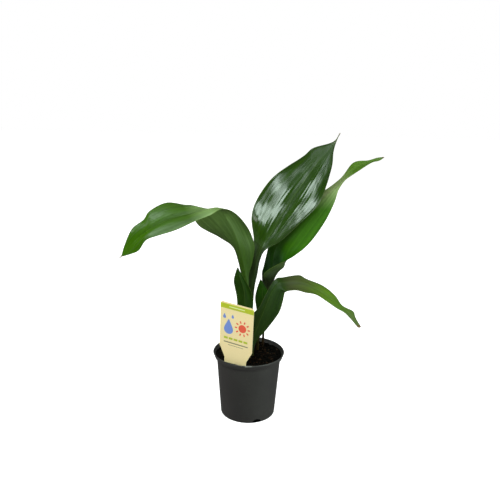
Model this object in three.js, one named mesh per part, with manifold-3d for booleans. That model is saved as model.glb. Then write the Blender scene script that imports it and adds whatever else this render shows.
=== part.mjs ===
// A potted cast iron plant: a nursery pot of soil, six long leaves on their stalks, and a care label.
// Millimetres, +Z up. The origin is the centre of the pot's base, and the front is towards -Y.

import * as THREE from 'three';
import * as BufferGeometryUtils from 'three/addons/utils/BufferGeometryUtils.js';
import Module from 'manifold-3d';

const manifold = await Module();
manifold.setup();

// Driving dimensions: pot
const POT_HEIGHT = 111;
const RIM_RADIUS = 60;
const LIP_DEPTH = 9;
const LIP_FOOT_RADIUS = 57.3;
const NECK_RADIUS = 54;
const FOOT_RADIUS = 46.2;
const WALL = 1.4;
const FLOOR_UNDERSIDE = 4.8;
const FOOT_RING_WIDTH = 3.6;
const PAD_RADIUS = 12;
const NOTCH_COUNT = 3;
const NOTCH_WIDTH = 18;
const NOTCH_HEIGHT = 6.4;
const NOTCH_TURN = 20;
const DRAIN_COUNT = 8;
const DRAIN_RADIUS = 4;
const DRAIN_CIRCLE = 28;
const POT_SIDES = 60;

// Driving dimensions: soil
const SOIL_LEVEL = 105;
const SOIL_RINGS = 9;
const SOIL_SIDES = 42;
const CRUMB_HEIGHT = 0.8;
const CLEARANCE = 0.35;

// Driving dimensions: label
const LABEL_WIDTH = 60;
const LABEL_STEM_WIDTH = 40;
const LABEL_TOP = 100;
const LABEL_KNEE = 21.5;
const LABEL_STEM_TOP = 1;
const LABEL_BURIED = 50;
const LABEL_POINT_LENGTH = 26;
const LABEL_POINT_WIDTH = 8;
const LABEL_CORNER = 4;
const LABEL_THICKNESS = 0.8;
const LABEL_OUT = 44;
const LABEL_ASIDE = -2.2;
const LABEL_TURN = 27;
const LABEL_LEAN = 4;
const LABEL_ROLL = 3.6;

// Driving dimensions: leaves
const BLADE_THICKNESS = 0.8;
const STALK_DEPTH_RATIO = 0.75;
const RIB_DEPTH = 1.4;
const STALK_FOOT = 85;
const RIPPLE_HEIGHT = 1.2;
const RIPPLE_TURN = 2.4;
const RIPPLE_WIDTH = 30;
const STEPS_PER_STATION = 2;
const ACROSS = [-1, -0.7, -0.4, -0.1, 0, 0.1, 0.4, 0.7, 1];

// Each leaf is a stalk and a blade. A stalk is the points of its middle, its half width, and the side
// that its right edge is on. A blade station is a point of the midrib, the way from there to the left and
// to the right margin, seen from the stalk on the upper face, and how far each half bellies downwards.
// A leaf with a roll has its margins turned down by that much.
const LEAVES = {
  leaf_arching_left: {
    stalk: [[-3, -3, STALK_FOOT], [-3, -3, 140], [-4, -6, 199], [-5, -8, 227]],
    half: 3,
    side: [-1, 0, 0],
    blade: [
      [[-8, -10, 250], [6, 4, -1], [-7, 4, 0], [1, 1]],
      [[-12, -13, 271], [15, 11, -1], [-8, 7, -2], [2, 2]],
      [[-17, -18, 295], [23, 14, 0], [-12, 10, 0], [3, 3]],
      [[-27, -26, 323], [23, 6, 4], [-21, 12, -13], [-3, 3]],
      [[-38, -36, 346], [15, -2, 8], [-30, 14, -24], [-2, 3]],
      [[-50, -47, 363], [6, -19, 4], [-35, 15, -24], [-2, 3]],
      [[-67, -57, 365], [5, -17, -5], [-22, 17, -2], [-3, -2]],
      [[-91, -67, 360], [9, -13, -9], [-11, 17, 10], [-3, -3]],
      [[-119, -77, 353], [12, -13, -12], [-7, 15, 22], [-2, -4]],
      [[-142, -85, 343], [6, -11, -11], [-7, 12, 21], [-2, -3]],
      [[-155, -88, 335], [3, -10, -10], [-3, 9, 17], [-2, -2]],
      [[-168, -91, 324], [5, -6, -14], [-6, 6, 15], [-1, -1]],
      [[-179, -92, 311], [5, -3, -7], [-6, 2, 4], [0, 0]],
      [[-193, -93, 296], [1, 0, 2], [3, 0, 2], [0, 0]],
    ],
  },
  leaf_tall: {
    stalk: [[2, 8, STALK_FOOT], [2, 8, 150]],
    half: 3,
    side: [1, 0, 0],
    roll: 2,
    blade: [
      [[3, 10, 213], [-7, 1, -1], [4, 0, 0], [0, 0]],
      [[7, 13, 243], [-11, 3, 2], [5, 1, 0], [1, 0]],
      [[11, 16, 266], [-14, 5, 6], [5, 2, -1], [1, 1]],
      [[18, 22, 285], [-14, 10, 11], [7, 4, -4], [3, 1]],
      [[31, 29, 306], [-31, 13, 27], [22, 7, -10], [-2, -1]],
      [[49, 40, 336], [-41, 14, 25], [36, 8, -10], [-3, -2]],
      [[70, 52, 368], [-40, 14, 24], [42, 8, -16], [-3, -2]],
      [[92, 64, 399], [-33, 12, 16], [36, 8, -13], [-2, -2]],
      [[113, 76, 426], [-26, 10, 7], [22, 6, -10], [-2, -2]],
      [[130, 84, 444], [-27, 6, 1], [7, 3, -5], [-1, -1]],
      [[140, 90, 459], [-3, 1, -3], [2, 1, -1], [0, 0]],
      [[147, 94, 470], [-0.7, 0, 0.3], [0.7, 0, -0.3], [0, 0]],
    ],
  },
  leaf_back_right: {
    stalk: [[25, 38, STALK_FOOT], [25, 38, 130], [28, 36, 162], [30, 36, 186]],
    half: 2,
    side: [1, 0, 0],
    blade: [
      [[36, 37, 212], [-15, 4, 6], [-9, -6, 10], [2, 4]],
      [[40, 38, 223], [-20, 6, 13], [-16, -9, 16], [1, 9]],
      [[38, 50, 242], [-15, 2, 4], [6, -22, 13], [2, 16]],
      [[41, 60, 269], [-12, 4, 3], [33, -14, -3], [2, 8]],
      [[53, 66, 292], [-17, 14, 14], [49, 0, -7], [2, -2]],
      [[77, 80, 320], [-19, 16, 16], [50, 0, -2], [2, -2]],
      [[107, 94, 347], [-13, 18, 14], [37, -2, 4], [2, -2]],
      [[135, 104, 366], [-12, 14, -2], [16, -8, 8], [2, -3]],
      [[159, 112, 388], [-3, 12, 1], [3, -14, 3], [1, 1]],
      [[182, 116, 405], [-5, 6, 12], [3, -10, 0], [-1, 1]],
      [[206, 118, 419], [-4, 2, 3], [1, -6, 0], [0, 0]],
      [[219, 119, 423], [-1, 1, 4], [2, -2, -1], [0, 0]],
      [[230, 120, 428], [-0.4, 0, 0.6], [0.4, 0, -0.6], [0, 0]],
    ],
  },
  leaf_arching_right: {
    stalk: [[6, -6, STALK_FOOT], [6, -6, 117]],
    half: 3,
    side: [1, 0, 0],
    blade: [
      [[7, -6, 136], [-4, 0, 4], [8, 0, -2], [1, 1]],
      [[15, -8, 161], [-10, 0, 16], [19, 0, -1], [1, 1]],
      [[24, -12, 189], [-7, 0, 7], [26, 2, -2], [2, 1]],
      [[34, -12, 216], [-8, 2, 0], [23, 4, 3], [2, 0]],
      [[46, -7, 234], [-5, 5, 5], [12, -6, -13], [1, 1]],
      [[59, 0, 234], [-5, 8, 6], [3, -10, -12], [0, 1]],
      [[76, 6, 233], [4, 11, 8], [1, -12, -11], [-1, 2]],
      [[93, 8, 230], [0, 14, 4], [-1, -14, -11], [-1, 2]],
      [[115, 6, 218], [5, 14, 6], [-6, -12, -3], [-2, 1]],
      [[135, 2, 205], [7, 12, 3], [-6, -10, -2], [-2, -1]],
      [[150, -2, 196], [5, 10, -3], [-6, -7, -3], [-1, -1]],
      [[163, -6, 187], [9, 9, -2], [-7, -6, 0], [-1, -1]],
      [[172, -10, 177], [4, 5, -1], [-6, -3, 1], [0, 0]],
      [[182, -16, 163], [2.6, 1.5, 1], [-3.4, -1.5, 1], [0, 0]],
    ],
  },
  leaf_short_front: {
    stalk: [[-8, -15, STALK_FOOT], [-8, -15, 112]],
    half: 3,
    side: [1, 0, 0],
    blade: [
      [[-9, -18, 156], [-7, 1, -1], [7, 1, 0], [0, 0]],
      [[-8, -20, 183], [-11, 2, -1], [12, 2, -1], [1, 1]],
      [[-8, -22, 210], [-13, 3, 0], [14, 3, -3], [2, 2]],
      [[-10, -24, 229], [-15, 3, 2], [10, 3, -1], [2, 2]],
      [[-16, -26, 248], [-10, 2, -3], [6, 2, -1], [1, 1]],
      [[-19, -27, 260], [-4, 1, -1], [2, 1, 0], [0, 0]],
      [[-20, -28, 266], [-0.7, 0, 0], [0.7, 0, 0], [0, 0]],
    ],
  },
  leaf_small_inner: {
    stalk: [[15, 15, STALK_FOOT], [15, 15, 130], [17, 17, 160]],
    half: 2.4,
    side: [1, 0, 0],
    blade: [
      [[22, 20, 175], [-10, 2, 1], [-4, -6, 11], [1, 3]],
      [[22, 22, 196], [-13, 4, 0], [4, -6, 6], [1, 3]],
      [[21, 25, 209], [-10, 3, 0], [9, -3, 1], [1, 1]],
      [[20, 28, 219], [-6, 2, 0], [5, -1, -1], [0, 0]],
      [[18, 31, 228], [-0.7, 0, 0.3], [0.7, 0, -0.3], [0, 0]],
    ],
  },
};

const plastic = new THREE.MeshStandardMaterial({ color: 0x343635, roughness: 0.55, metalness: 0 });
const peat = new THREE.MeshStandardMaterial({ color: 0x1e1511, roughness: 0.95, metalness: 0 });
const card = new THREE.MeshStandardMaterial({ color: 0xe0cf98, roughness: 0.6, metalness: 0 });
const foliage = new THREE.MeshStandardMaterial({ color: 0x35601f, roughness: 0.4, metalness: 0 });

const radians = THREE.MathUtils.degToRad;

function merged(geometry) {
  const bare = geometry.clone();
  bare.deleteAttribute('normal');
  bare.deleteAttribute('uv');
  return BufferGeometryUtils.mergeVertices(bare, 1e-4);
}

function toSolid(geometry) {
  const clean = merged(geometry);
  return new manifold.Manifold(new manifold.Mesh({
    numProp: 3,
    vertProperties: new Float32Array(clean.attributes.position.array),
    triVerts: new Uint32Array(clean.index.array),
  }));
}

function toGeometry(solid) {
  const mesh = solid.getMesh();
  const geometry = new THREE.BufferGeometry();
  geometry.setAttribute('position', new THREE.BufferAttribute(new Float32Array(mesh.vertProperties), 3));
  geometry.setIndex(new THREE.BufferAttribute(new Uint32Array(mesh.triVerts), 1));
  return geometry;
}

// A profile of [radius, height] pairs, up the outside and down the inside, turned about Z.
function turned(profile, sides) {
  const points = profile.map(([radius, height]) => new THREE.Vector2(radius, height));
  return new THREE.LatheGeometry(points, sides).rotateX(Math.PI / 2);
}

function outerRadiusAt(height) {
  const share = height / (POT_HEIGHT - LIP_DEPTH);
  return THREE.MathUtils.lerp(FOOT_RADIUS, NECK_RADIUS, share);
}

// Pot: a tapered wall, a flared lip with a rolled edge, a raised floor on a foot ring and a middle pad.
function potProfile() {
  const lipFoot = POT_HEIGHT - LIP_DEPTH;
  const floorTop = FLOOR_UNDERSIDE + WALL;
  const ringInner = FOOT_RADIUS - FOOT_RING_WIDTH;
  return [
    [0, 0],
    [PAD_RADIUS, 0],
    [PAD_RADIUS + 1, FLOOR_UNDERSIDE],
    [ringInner - 1, FLOOR_UNDERSIDE],
    [ringInner, 0],
    [FOOT_RADIUS - 0.6, 0],
    [FOOT_RADIUS, 0.8],
    [outerRadiusAt(50), 50],
    [NECK_RADIUS, lipFoot - 0.8],
    [LIP_FOOT_RADIUS - 0.6, lipFoot],
    [LIP_FOOT_RADIUS, lipFoot + 0.7],
    [RIM_RADIUS - 0.3, POT_HEIGHT - 1],
    [RIM_RADIUS - 0.1, POT_HEIGHT - 0.3],
    [RIM_RADIUS - 0.7, POT_HEIGHT],
    [RIM_RADIUS - 1.3, POT_HEIGHT - 0.2],
    [RIM_RADIUS - 1.6, POT_HEIGHT - 0.8],
    [LIP_FOOT_RADIUS - WALL, lipFoot + 1.4],
    [NECK_RADIUS - WALL, lipFoot - 1.6],
    [outerRadiusAt(50) - WALL, 50],
    [outerRadiusAt(floorTop + 2) - WALL, floorTop + 2],
    [outerRadiusAt(floorTop) - WALL - 1.6, floorTop],
    [0, floorTop],
  ];
}

function notchCutter(angle) {
  const shape = new THREE.Shape();
  const half = NOTCH_WIDTH / 2;
  shape.moveTo(-half, -2);
  shape.lineTo(half, -2);
  shape.lineTo(half - 1, 0.6);
  shape.quadraticCurveTo(half - 3, NOTCH_HEIGHT, 0, NOTCH_HEIGHT);
  shape.quadraticCurveTo(3 - half, NOTCH_HEIGHT, 1 - half, 0.6);
  shape.closePath();
  const cutter = new THREE.ExtrudeGeometry(shape, { depth: 12, bevelEnabled: false, curveSegments: 6 });
  return cutter
    .rotateX(Math.PI / 2)
    .translate(0, FOOT_RADIUS + 3, 0)
    .rotateZ(angle - Math.PI / 2);
}

function drainCutter(angle) {
  const cutter = new THREE.CylinderGeometry(DRAIN_RADIUS, DRAIN_RADIUS, 6, 16);
  return cutter
    .rotateX(Math.PI / 2)
    .translate(DRAIN_CIRCLE * Math.cos(angle), DRAIN_CIRCLE * Math.sin(angle), FLOOR_UNDERSIDE);
}

function potGeometry() {
  let pot = toSolid(turned(potProfile(), POT_SIDES));
  for (let i = 0; i < NOTCH_COUNT; i += 1) {
    const angle = radians(-90 + NOTCH_TURN) + (2 * Math.PI * i) / NOTCH_COUNT;
    pot = pot.subtract(toSolid(notchCutter(angle)));
  }
  for (let i = 0; i < DRAIN_COUNT; i += 1) {
    pot = pot.subtract(toSolid(drainCutter((2 * Math.PI * i) / DRAIN_COUNT)));
  }
  return toGeometry(pot);
}

// Label: a plate with round top corners, narrowed by a taper to a stem that ends in a blunt point.
function labelGeometry(grow) {
  const half = LABEL_WIDTH / 2 + grow;
  const stem = LABEL_STEM_WIDTH / 2 + grow;
  const tip = LABEL_POINT_WIDTH / 2 + grow;
  const top = LABEL_TOP + grow;
  const foot = -LABEL_BURIED - grow;
  const shape = new THREE.Shape();
  shape.moveTo(-tip, foot);
  shape.lineTo(tip, foot);
  shape.lineTo(stem, foot + LABEL_POINT_LENGTH);
  shape.lineTo(stem, LABEL_STEM_TOP);
  shape.lineTo(half, LABEL_KNEE);
  shape.lineTo(half, top - LABEL_CORNER);
  shape.absarc(half - LABEL_CORNER, top - LABEL_CORNER, LABEL_CORNER, 0, Math.PI / 2, false);
  shape.lineTo(LABEL_CORNER - half, top);
  shape.absarc(LABEL_CORNER - half, top - LABEL_CORNER, LABEL_CORNER, Math.PI / 2, Math.PI, false);
  shape.lineTo(-half, LABEL_KNEE);
  shape.lineTo(-stem, LABEL_STEM_TOP);
  shape.lineTo(-stem, foot + LABEL_POINT_LENGTH);
  shape.closePath();
  const depth = LABEL_THICKNESS + 2 * grow;
  const plate = new THREE.ExtrudeGeometry(shape, { depth, bevelEnabled: false, curveSegments: 6 });
  return plate
    .translate(0, 0, -depth / 2)
    .rotateX(Math.PI / 2)
    .rotateY(radians(LABEL_ROLL))
    .rotateX(radians(LABEL_LEAN))
    .translate(LABEL_ASIDE, -LABEL_OUT, POT_HEIGHT)
    .rotateZ(radians(-LABEL_TURN));
}

// Leaf: curves along the midrib and both margins carry a grid of points, each half bowed between them.
function leafSections({ stalk, half, side, blade, roll = 0 }) {
  const vector = ([x, y, z]) => new THREE.Vector3(x, y, z);
  const edge = vector(side).multiplyScalar(half);
  const stations = [
    ...stalk.map((at) => ({ mid: vector(at), left: edge.clone().negate(), right: edge, form: [0, 0, 1] })),
    ...blade.map(([at, left, right, bow]) => (
      { mid: vector(at), left: vector(left), right: vector(right), form: [...bow, 0] }
    )),
  ];
  const curve = (points) => new THREE.CatmullRomCurve3(points, false, 'catmullrom', 0.5);
  const midrib = curve(stations.map((s) => s.mid));
  const left = curve(stations.map((s) => s.mid.clone().add(s.left)));
  const right = curve(stations.map((s) => s.mid.clone().add(s.right)));
  const form = curve(stations.map((s) => vector(s.form)));
  const count = (stations.length - 1) * STEPS_PER_STATION;
  const sections = [];
  for (let i = 0; i <= count; i += 1) {
    const t = i / count;
    const mid = midrib.getPoint(t);
    const along = midrib.getTangent(t);
    const bow = form.getPoint(t);
    const points = ACROSS.map((q) => {
      if (q === 0) return mid.clone();
      const reach = (q < 0 ? left : right).getPoint(t).sub(mid);
      const up = (q < 0 ? along.clone().cross(reach) : reach.clone().cross(along)).normalize();
      const share = Math.abs(q);
      const belly = (q < 0 ? bow.x : bow.y) * 4 * share * (1 - share);
      const wave = Math.sin(RIPPLE_TURN * t * (stations.length - 1) + (q < 0 ? 0 : 2));
      const freedom = Math.min(1, reach.length() / RIPPLE_WIDTH) * (1 - THREE.MathUtils.clamp(bow.z, 0, 1));
      const ripple = RIPPLE_HEIGHT * wave * freedom * share ** 2;
      const turnDown = roll * freedom * share ** 4;
      return mid.clone().addScaledVector(reach, share).addScaledVector(up, ripple - belly - turnDown);
    });
    sections.push({ points, t, round: THREE.MathUtils.clamp(bow.z, 0, 1) });
  }
  return sections;
}

function leafGeometry(leaf) {
  const sections = leafSections(leaf);
  const rows = sections.length;
  const columns = ACROSS.length;
  const upper = [];
  const lower = [];
  sections.forEach(({ points, t, round }, i) => {
    const before = sections[Math.max(i - 1, 0)].points;
    const after = sections[Math.min(i + 1, rows - 1)].points;
    points.forEach((point, j) => {
      const across = points[Math.min(j + 1, columns - 1)].clone().sub(points[Math.max(j - 1, 0)]);
      const along = after[j].clone().sub(before[j]);
      const up = across.cross(along).normalize();
      const swell = round * leaf.half * STALK_DEPTH_RATIO * Math.sqrt(1 - ACROSS[j] ** 2);
      const rib = ACROSS[j] === 0 ? (1 - round) * RIB_DEPTH * (1 - t) : 0;
      upper.push(point.clone().addScaledVector(up, BLADE_THICKNESS / 2 + swell));
      lower.push(point.clone().addScaledVector(up, -BLADE_THICKNESS / 2 - swell - rib));
    });
  });
  const last = rows * columns;
  const index = [];
  const quad = (a, b, c, d) => index.push(a, b, c, a, c, d);
  for (let i = 0; i < rows - 1; i += 1) {
    for (let j = 0; j < columns - 1; j += 1) {
      const a = i * columns + j;
      const b = a + 1;
      const c = b + columns;
      const d = a + columns;
      quad(a, b, c, d);
      index.push(last + a, last + c, last + b, last + a, last + d, last + c);
    }
    const left = i * columns;
    const right = left + columns - 1;
    quad(left, left + columns, last + left + columns, last + left);
    quad(right, last + right, last + right + columns, right + columns);
  }
  for (let j = 0; j < columns - 1; j += 1) {
    const end = (rows - 1) * columns + j;
    quad(j, last + j, last + j + 1, j + 1);
    quad(end, end + 1, last + end + 1, last + end);
  }
  const geometry = new THREE.BufferGeometry().setFromPoints([...upper, ...lower]);
  geometry.setIndex(index);
  return geometry;
}

// Soil: fills the pot into its lip, crumbly on top, with a plain hole for each stalk and a slot for the
// label.
function crumbs(x, y) {
  const coarse = Math.sin(x / 4.1 + 0.6 * Math.sin(y / 5.3)) * Math.cos(y / 4.7 - 0.5 * Math.sin(x / 6.1));
  const fine = Math.sin(x / 1.9 + y / 2.7) * Math.cos(x / 3.1 - y / 1.7);
  return CRUMB_HEIGHT * (coarse + 0.6 * fine);
}

function soilGeometry() {
  const bottom = FLOOR_UNDERSIDE + WALL + CLEARANCE;
  const reach = (height) => outerRadiusAt(height) - WALL - CLEARANCE;
  const lipFoot = POT_HEIGHT - LIP_DEPTH;
  const shoulder = LIP_FOOT_RADIUS - WALL - CLEARANCE;
  const side = shoulder + 0.3;
  const profile = [
    [0, bottom],
    [reach(bottom) - 2, bottom],
    [reach(bottom + 3), bottom + 3],
    [reach(lipFoot - 2.4), lipFoot - 2.4],
    [NECK_RADIUS - WALL - CLEARANCE, lipFoot - 1.2],
    [shoulder, lipFoot + 1.8],
    [side, SOIL_LEVEL],
  ];
  for (let ring = SOIL_RINGS - 1; ring >= 0; ring -= 1) {
    profile.push([(side * ring) / SOIL_RINGS, SOIL_LEVEL]);
  }
  const body = merged(turned(profile, SOIL_SIDES));
  const position = body.attributes.position;
  for (let i = 0; i < position.count; i += 1) {
    const x = position.getX(i);
    const y = position.getY(i);
    const inside = Math.hypot(x, y) < side - 0.1;
    if (inside && position.getZ(i) > SOIL_LEVEL - 0.1) {
      position.setZ(i, SOIL_LEVEL + crumbs(x, y));
    }
  }
  let soil = toSolid(body).subtract(toSolid(labelGeometry(CLEARANCE)));
  for (const { stalk, half } of Object.values(LEAVES)) {
    const [x, y, foot] = stalk[0];
    const radius = Math.hypot(half, BLADE_THICKNESS / 2) + CLEARANCE;
    const depth = SOIL_LEVEL + 10 - foot + CLEARANCE;
    const hole = new THREE.CylinderGeometry(radius, radius, depth, 20).rotateX(Math.PI / 2);
    soil = soil.subtract(toSolid(hole.translate(x, y, foot - CLEARANCE + depth / 2)));
  }
  return toGeometry(soil);
}

const plant = new THREE.Group();

function add(name, geometry, material) {
  const mesh = new THREE.Mesh(geometry, material);
  mesh.name = name;
  plant.add(mesh);
}

add('pot', potGeometry(), plastic);
add('soil', soilGeometry(), peat);
add('care_label', labelGeometry(0), card);
for (const [name, leaf] of Object.entries(LEAVES)) {
  add(name, leafGeometry(leaf), foliage);
}

export default plant;
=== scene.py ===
"""A potted cast iron plant in a nursery pot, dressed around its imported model. Metres, +Z up, front to -Y."""

import math
import random

import bmesh
import bpy
import numpy as np
from mathutils import Matrix, Vector, noise


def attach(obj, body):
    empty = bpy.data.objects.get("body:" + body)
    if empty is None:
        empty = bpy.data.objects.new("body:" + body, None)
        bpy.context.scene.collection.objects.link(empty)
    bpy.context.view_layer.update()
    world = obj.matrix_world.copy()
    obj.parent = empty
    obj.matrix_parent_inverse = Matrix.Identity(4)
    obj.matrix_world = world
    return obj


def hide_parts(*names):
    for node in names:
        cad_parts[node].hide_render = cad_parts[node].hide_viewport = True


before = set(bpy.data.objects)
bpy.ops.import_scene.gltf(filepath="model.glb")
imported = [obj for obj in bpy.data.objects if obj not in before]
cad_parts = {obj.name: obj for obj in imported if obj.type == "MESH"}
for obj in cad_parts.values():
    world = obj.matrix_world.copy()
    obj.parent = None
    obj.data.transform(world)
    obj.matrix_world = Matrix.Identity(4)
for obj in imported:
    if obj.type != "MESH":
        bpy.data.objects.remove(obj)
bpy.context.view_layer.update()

MM = 0.001

# Pot, as in the part's source, in millimetres
POT_HEIGHT = 111
RIM_RADIUS = 60
LIP_DEPTH = 9
LIP_FOOT_RADIUS = 57.3
NECK_RADIUS = 54
FOOT_RADIUS = 46.2
WALL = 1.4
FLOOR_UNDERSIDE = 4.8
FOOT_RING_WIDTH = 3.6
PAD_RADIUS = 12
NOTCH_COUNT = 3
NOTCH_WIDTH = 18
NOTCH_HEIGHT = 6.4
NOTCH_TURN = 20
NOTCH_INSET = 0.8
NOTCH_CUT = 14
DRAIN_COUNT = 8
DRAIN_RADIUS = 4
DRAIN_CIRCLE = 28
DRAIN_CUT = 6
POT_SIDES = 180

# How large the grain, clouds and flecks of its plastic are, and the pale spot on its lip
POT_GRAIN = 1.11
POT_CLOUD = 45.5
POT_FLECK = 3.85
PALE_SPOT_PLACE = (-0.6, -59, 110)
PALE_SPOT_SIZE = (6, 3, 1.6)

# Soil. Its swells are (width, layer of the noise, height). Its earths are (name, dark colour, light colour,
# size of lump). Its bits stay inside the pot's wall by their margin and behind the label by their clearance
SOIL_LEVEL = 105
SOIL_GAP = 0.35
SOIL_RINGS = 64
SOIL_SIDES = 168
SOIL_SWELLS = ((11, 3.7, 1.3), (4, 9.1, 0.8), (1.6, 5.3, 0.35))
FRONT_DIP = 2.8
FRONT_FLATNESS = 0.7
DIP_START = -2
DIP_SPAN = 3
EARTHS = (
    ("black_peat", "010100", "070402", 2.38),
    ("brown_peat", "070503", "1e150d", 2),
    ("pine_bark", "1a1009", "443222", 2.63),
    ("peat_fibre", "20120a", "4c3420", 1.67),
)
SOIL_SEED = 12
BIT_TILT = 0.5
BIT_RISE = 0.15
CRUMB_COUNT = 1500
CRUMB_SIZES = (0.45, 1.95)
CRUMB_ROUGHNESS = 0.3
CRUMB_MARGIN = 3
CRUMB_CLEARANCE = 2
BROWN_SHARE = 0.35
BARK_SLOT = 2
BARK_COUNT = 46
BARK_SIZES = (1, 2.6)
BARK_ROUGHNESS = 0.25
BARK_MARGIN = 4
BARK_CLEARANCE = 4
FIBRE_SLOT = 3
FIBRE_COUNT = 90
FIBRE_LENGTHS = (4, 11)
FIBRE_THICKNESSES = (0.12, 0.3)
FIBRE_MARGIN = 11
FIBRE_CLEARANCE = 11
FIBRE_STEPS = 8

# Label
LABEL_WIDTH = 60
LABEL_STEM_WIDTH = 40
LABEL_TOP = 100
LABEL_KNEE = 21.5
LABEL_STEM_TOP = 1
LABEL_BURIED = 50
LABEL_POINT_LENGTH = 26
LABEL_POINT_WIDTH = 8
LABEL_CORNER = 4
LABEL_THICKNESS = 0.8
LABEL_OUT = 44
LABEL_ASIDE = -2.2
LABEL_TURN = 27
LABEL_LEAN = 4
LABEL_ROLL = 3.6
CARD_MOTTLE = 1.01
THREAD_SPACING = 0.9

# Print on the label, across it from its middle and up it from its place at the lip. A bar is (left end, right
# end, height, thickness) and a drop is (across, up, radius, how far its point is drawn up)
PRINT_THICKNESS = 0.06
PRINT_ROOT = 0.02
INK_DOT = 0.556
INKS = (
    ("lime_ink", "a9b400"),
    ("blue_ink", "6482cc"),
    ("red_ink", "e04c36"),
    ("grey_ink", "746c58"),
    ("white_ink", "d4dc9c"),
)
BAND = (LABEL_TOP - 10.8, LABEL_TOP - 2.5)
BAND_INSET = 0.05
BAND_RULE = (-14, 14, LABEL_TOP - 6.65, 1.6)
SUN_PLACE = (11, 60)
SUN_RADIUS = 7
RAY_COUNT = 10
RAY_REACH = (9.4, 13.6)
RAY_WIDTH = 2.4
DROPS = ((-14, 53, 8.4, 10), (-22, 74, 2.8, 3.2), (-7, 76, 2.2, 2.6))
GAUGE_BARS = [(-22 + 9 * i, -15 + 9 * i, 37, 3.6) for i in range(5)]
RULES = ((-22, 22, 29.5, 1.9), (-14, 14, 25, 0.8))

# Leaves
STALK_DEPTH_RATIO = 0.75
RIB_DEPTH = 1.2
RIB_WIDTH = 1.7
STALK_FOOT = 85
RIPPLE_HEIGHT = 1.2
RIPPLE_TURN = 2.4
RIPPLE_LAG = 2
RIPPLE_WIDTH = 30
MIDDLE_HALF_THICKNESS = 0.4
MARGIN_HALF_THICKNESS = 0.2
RIB_SUNK = 0.25
COLUMNS = 121
ROWS_PER_STATION = 14

# Finer relief. Pleats are (how many across each half, height). Puckers and quilting are waves that cross each
# other: (how many, range of turns in RELIEF_PACE millimetres, range of slant), and then their height
PLEATS = ((3.1, 0.07), (5.7, 0.055), (8.9, 0.045))
PLEAT_DRIFT = 0.9
PUCKERS = (5, (1.6, 4.4), (0, 6))
PUCKER_RELIEF = 0.55
PUCKER_MIDDLE = 0.25
QUILT = (10, (5, 11), (6, 22))
QUILT_RELIEF = 0.05
RELIEF_PACE = 32
TIP_FADE = 12

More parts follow.
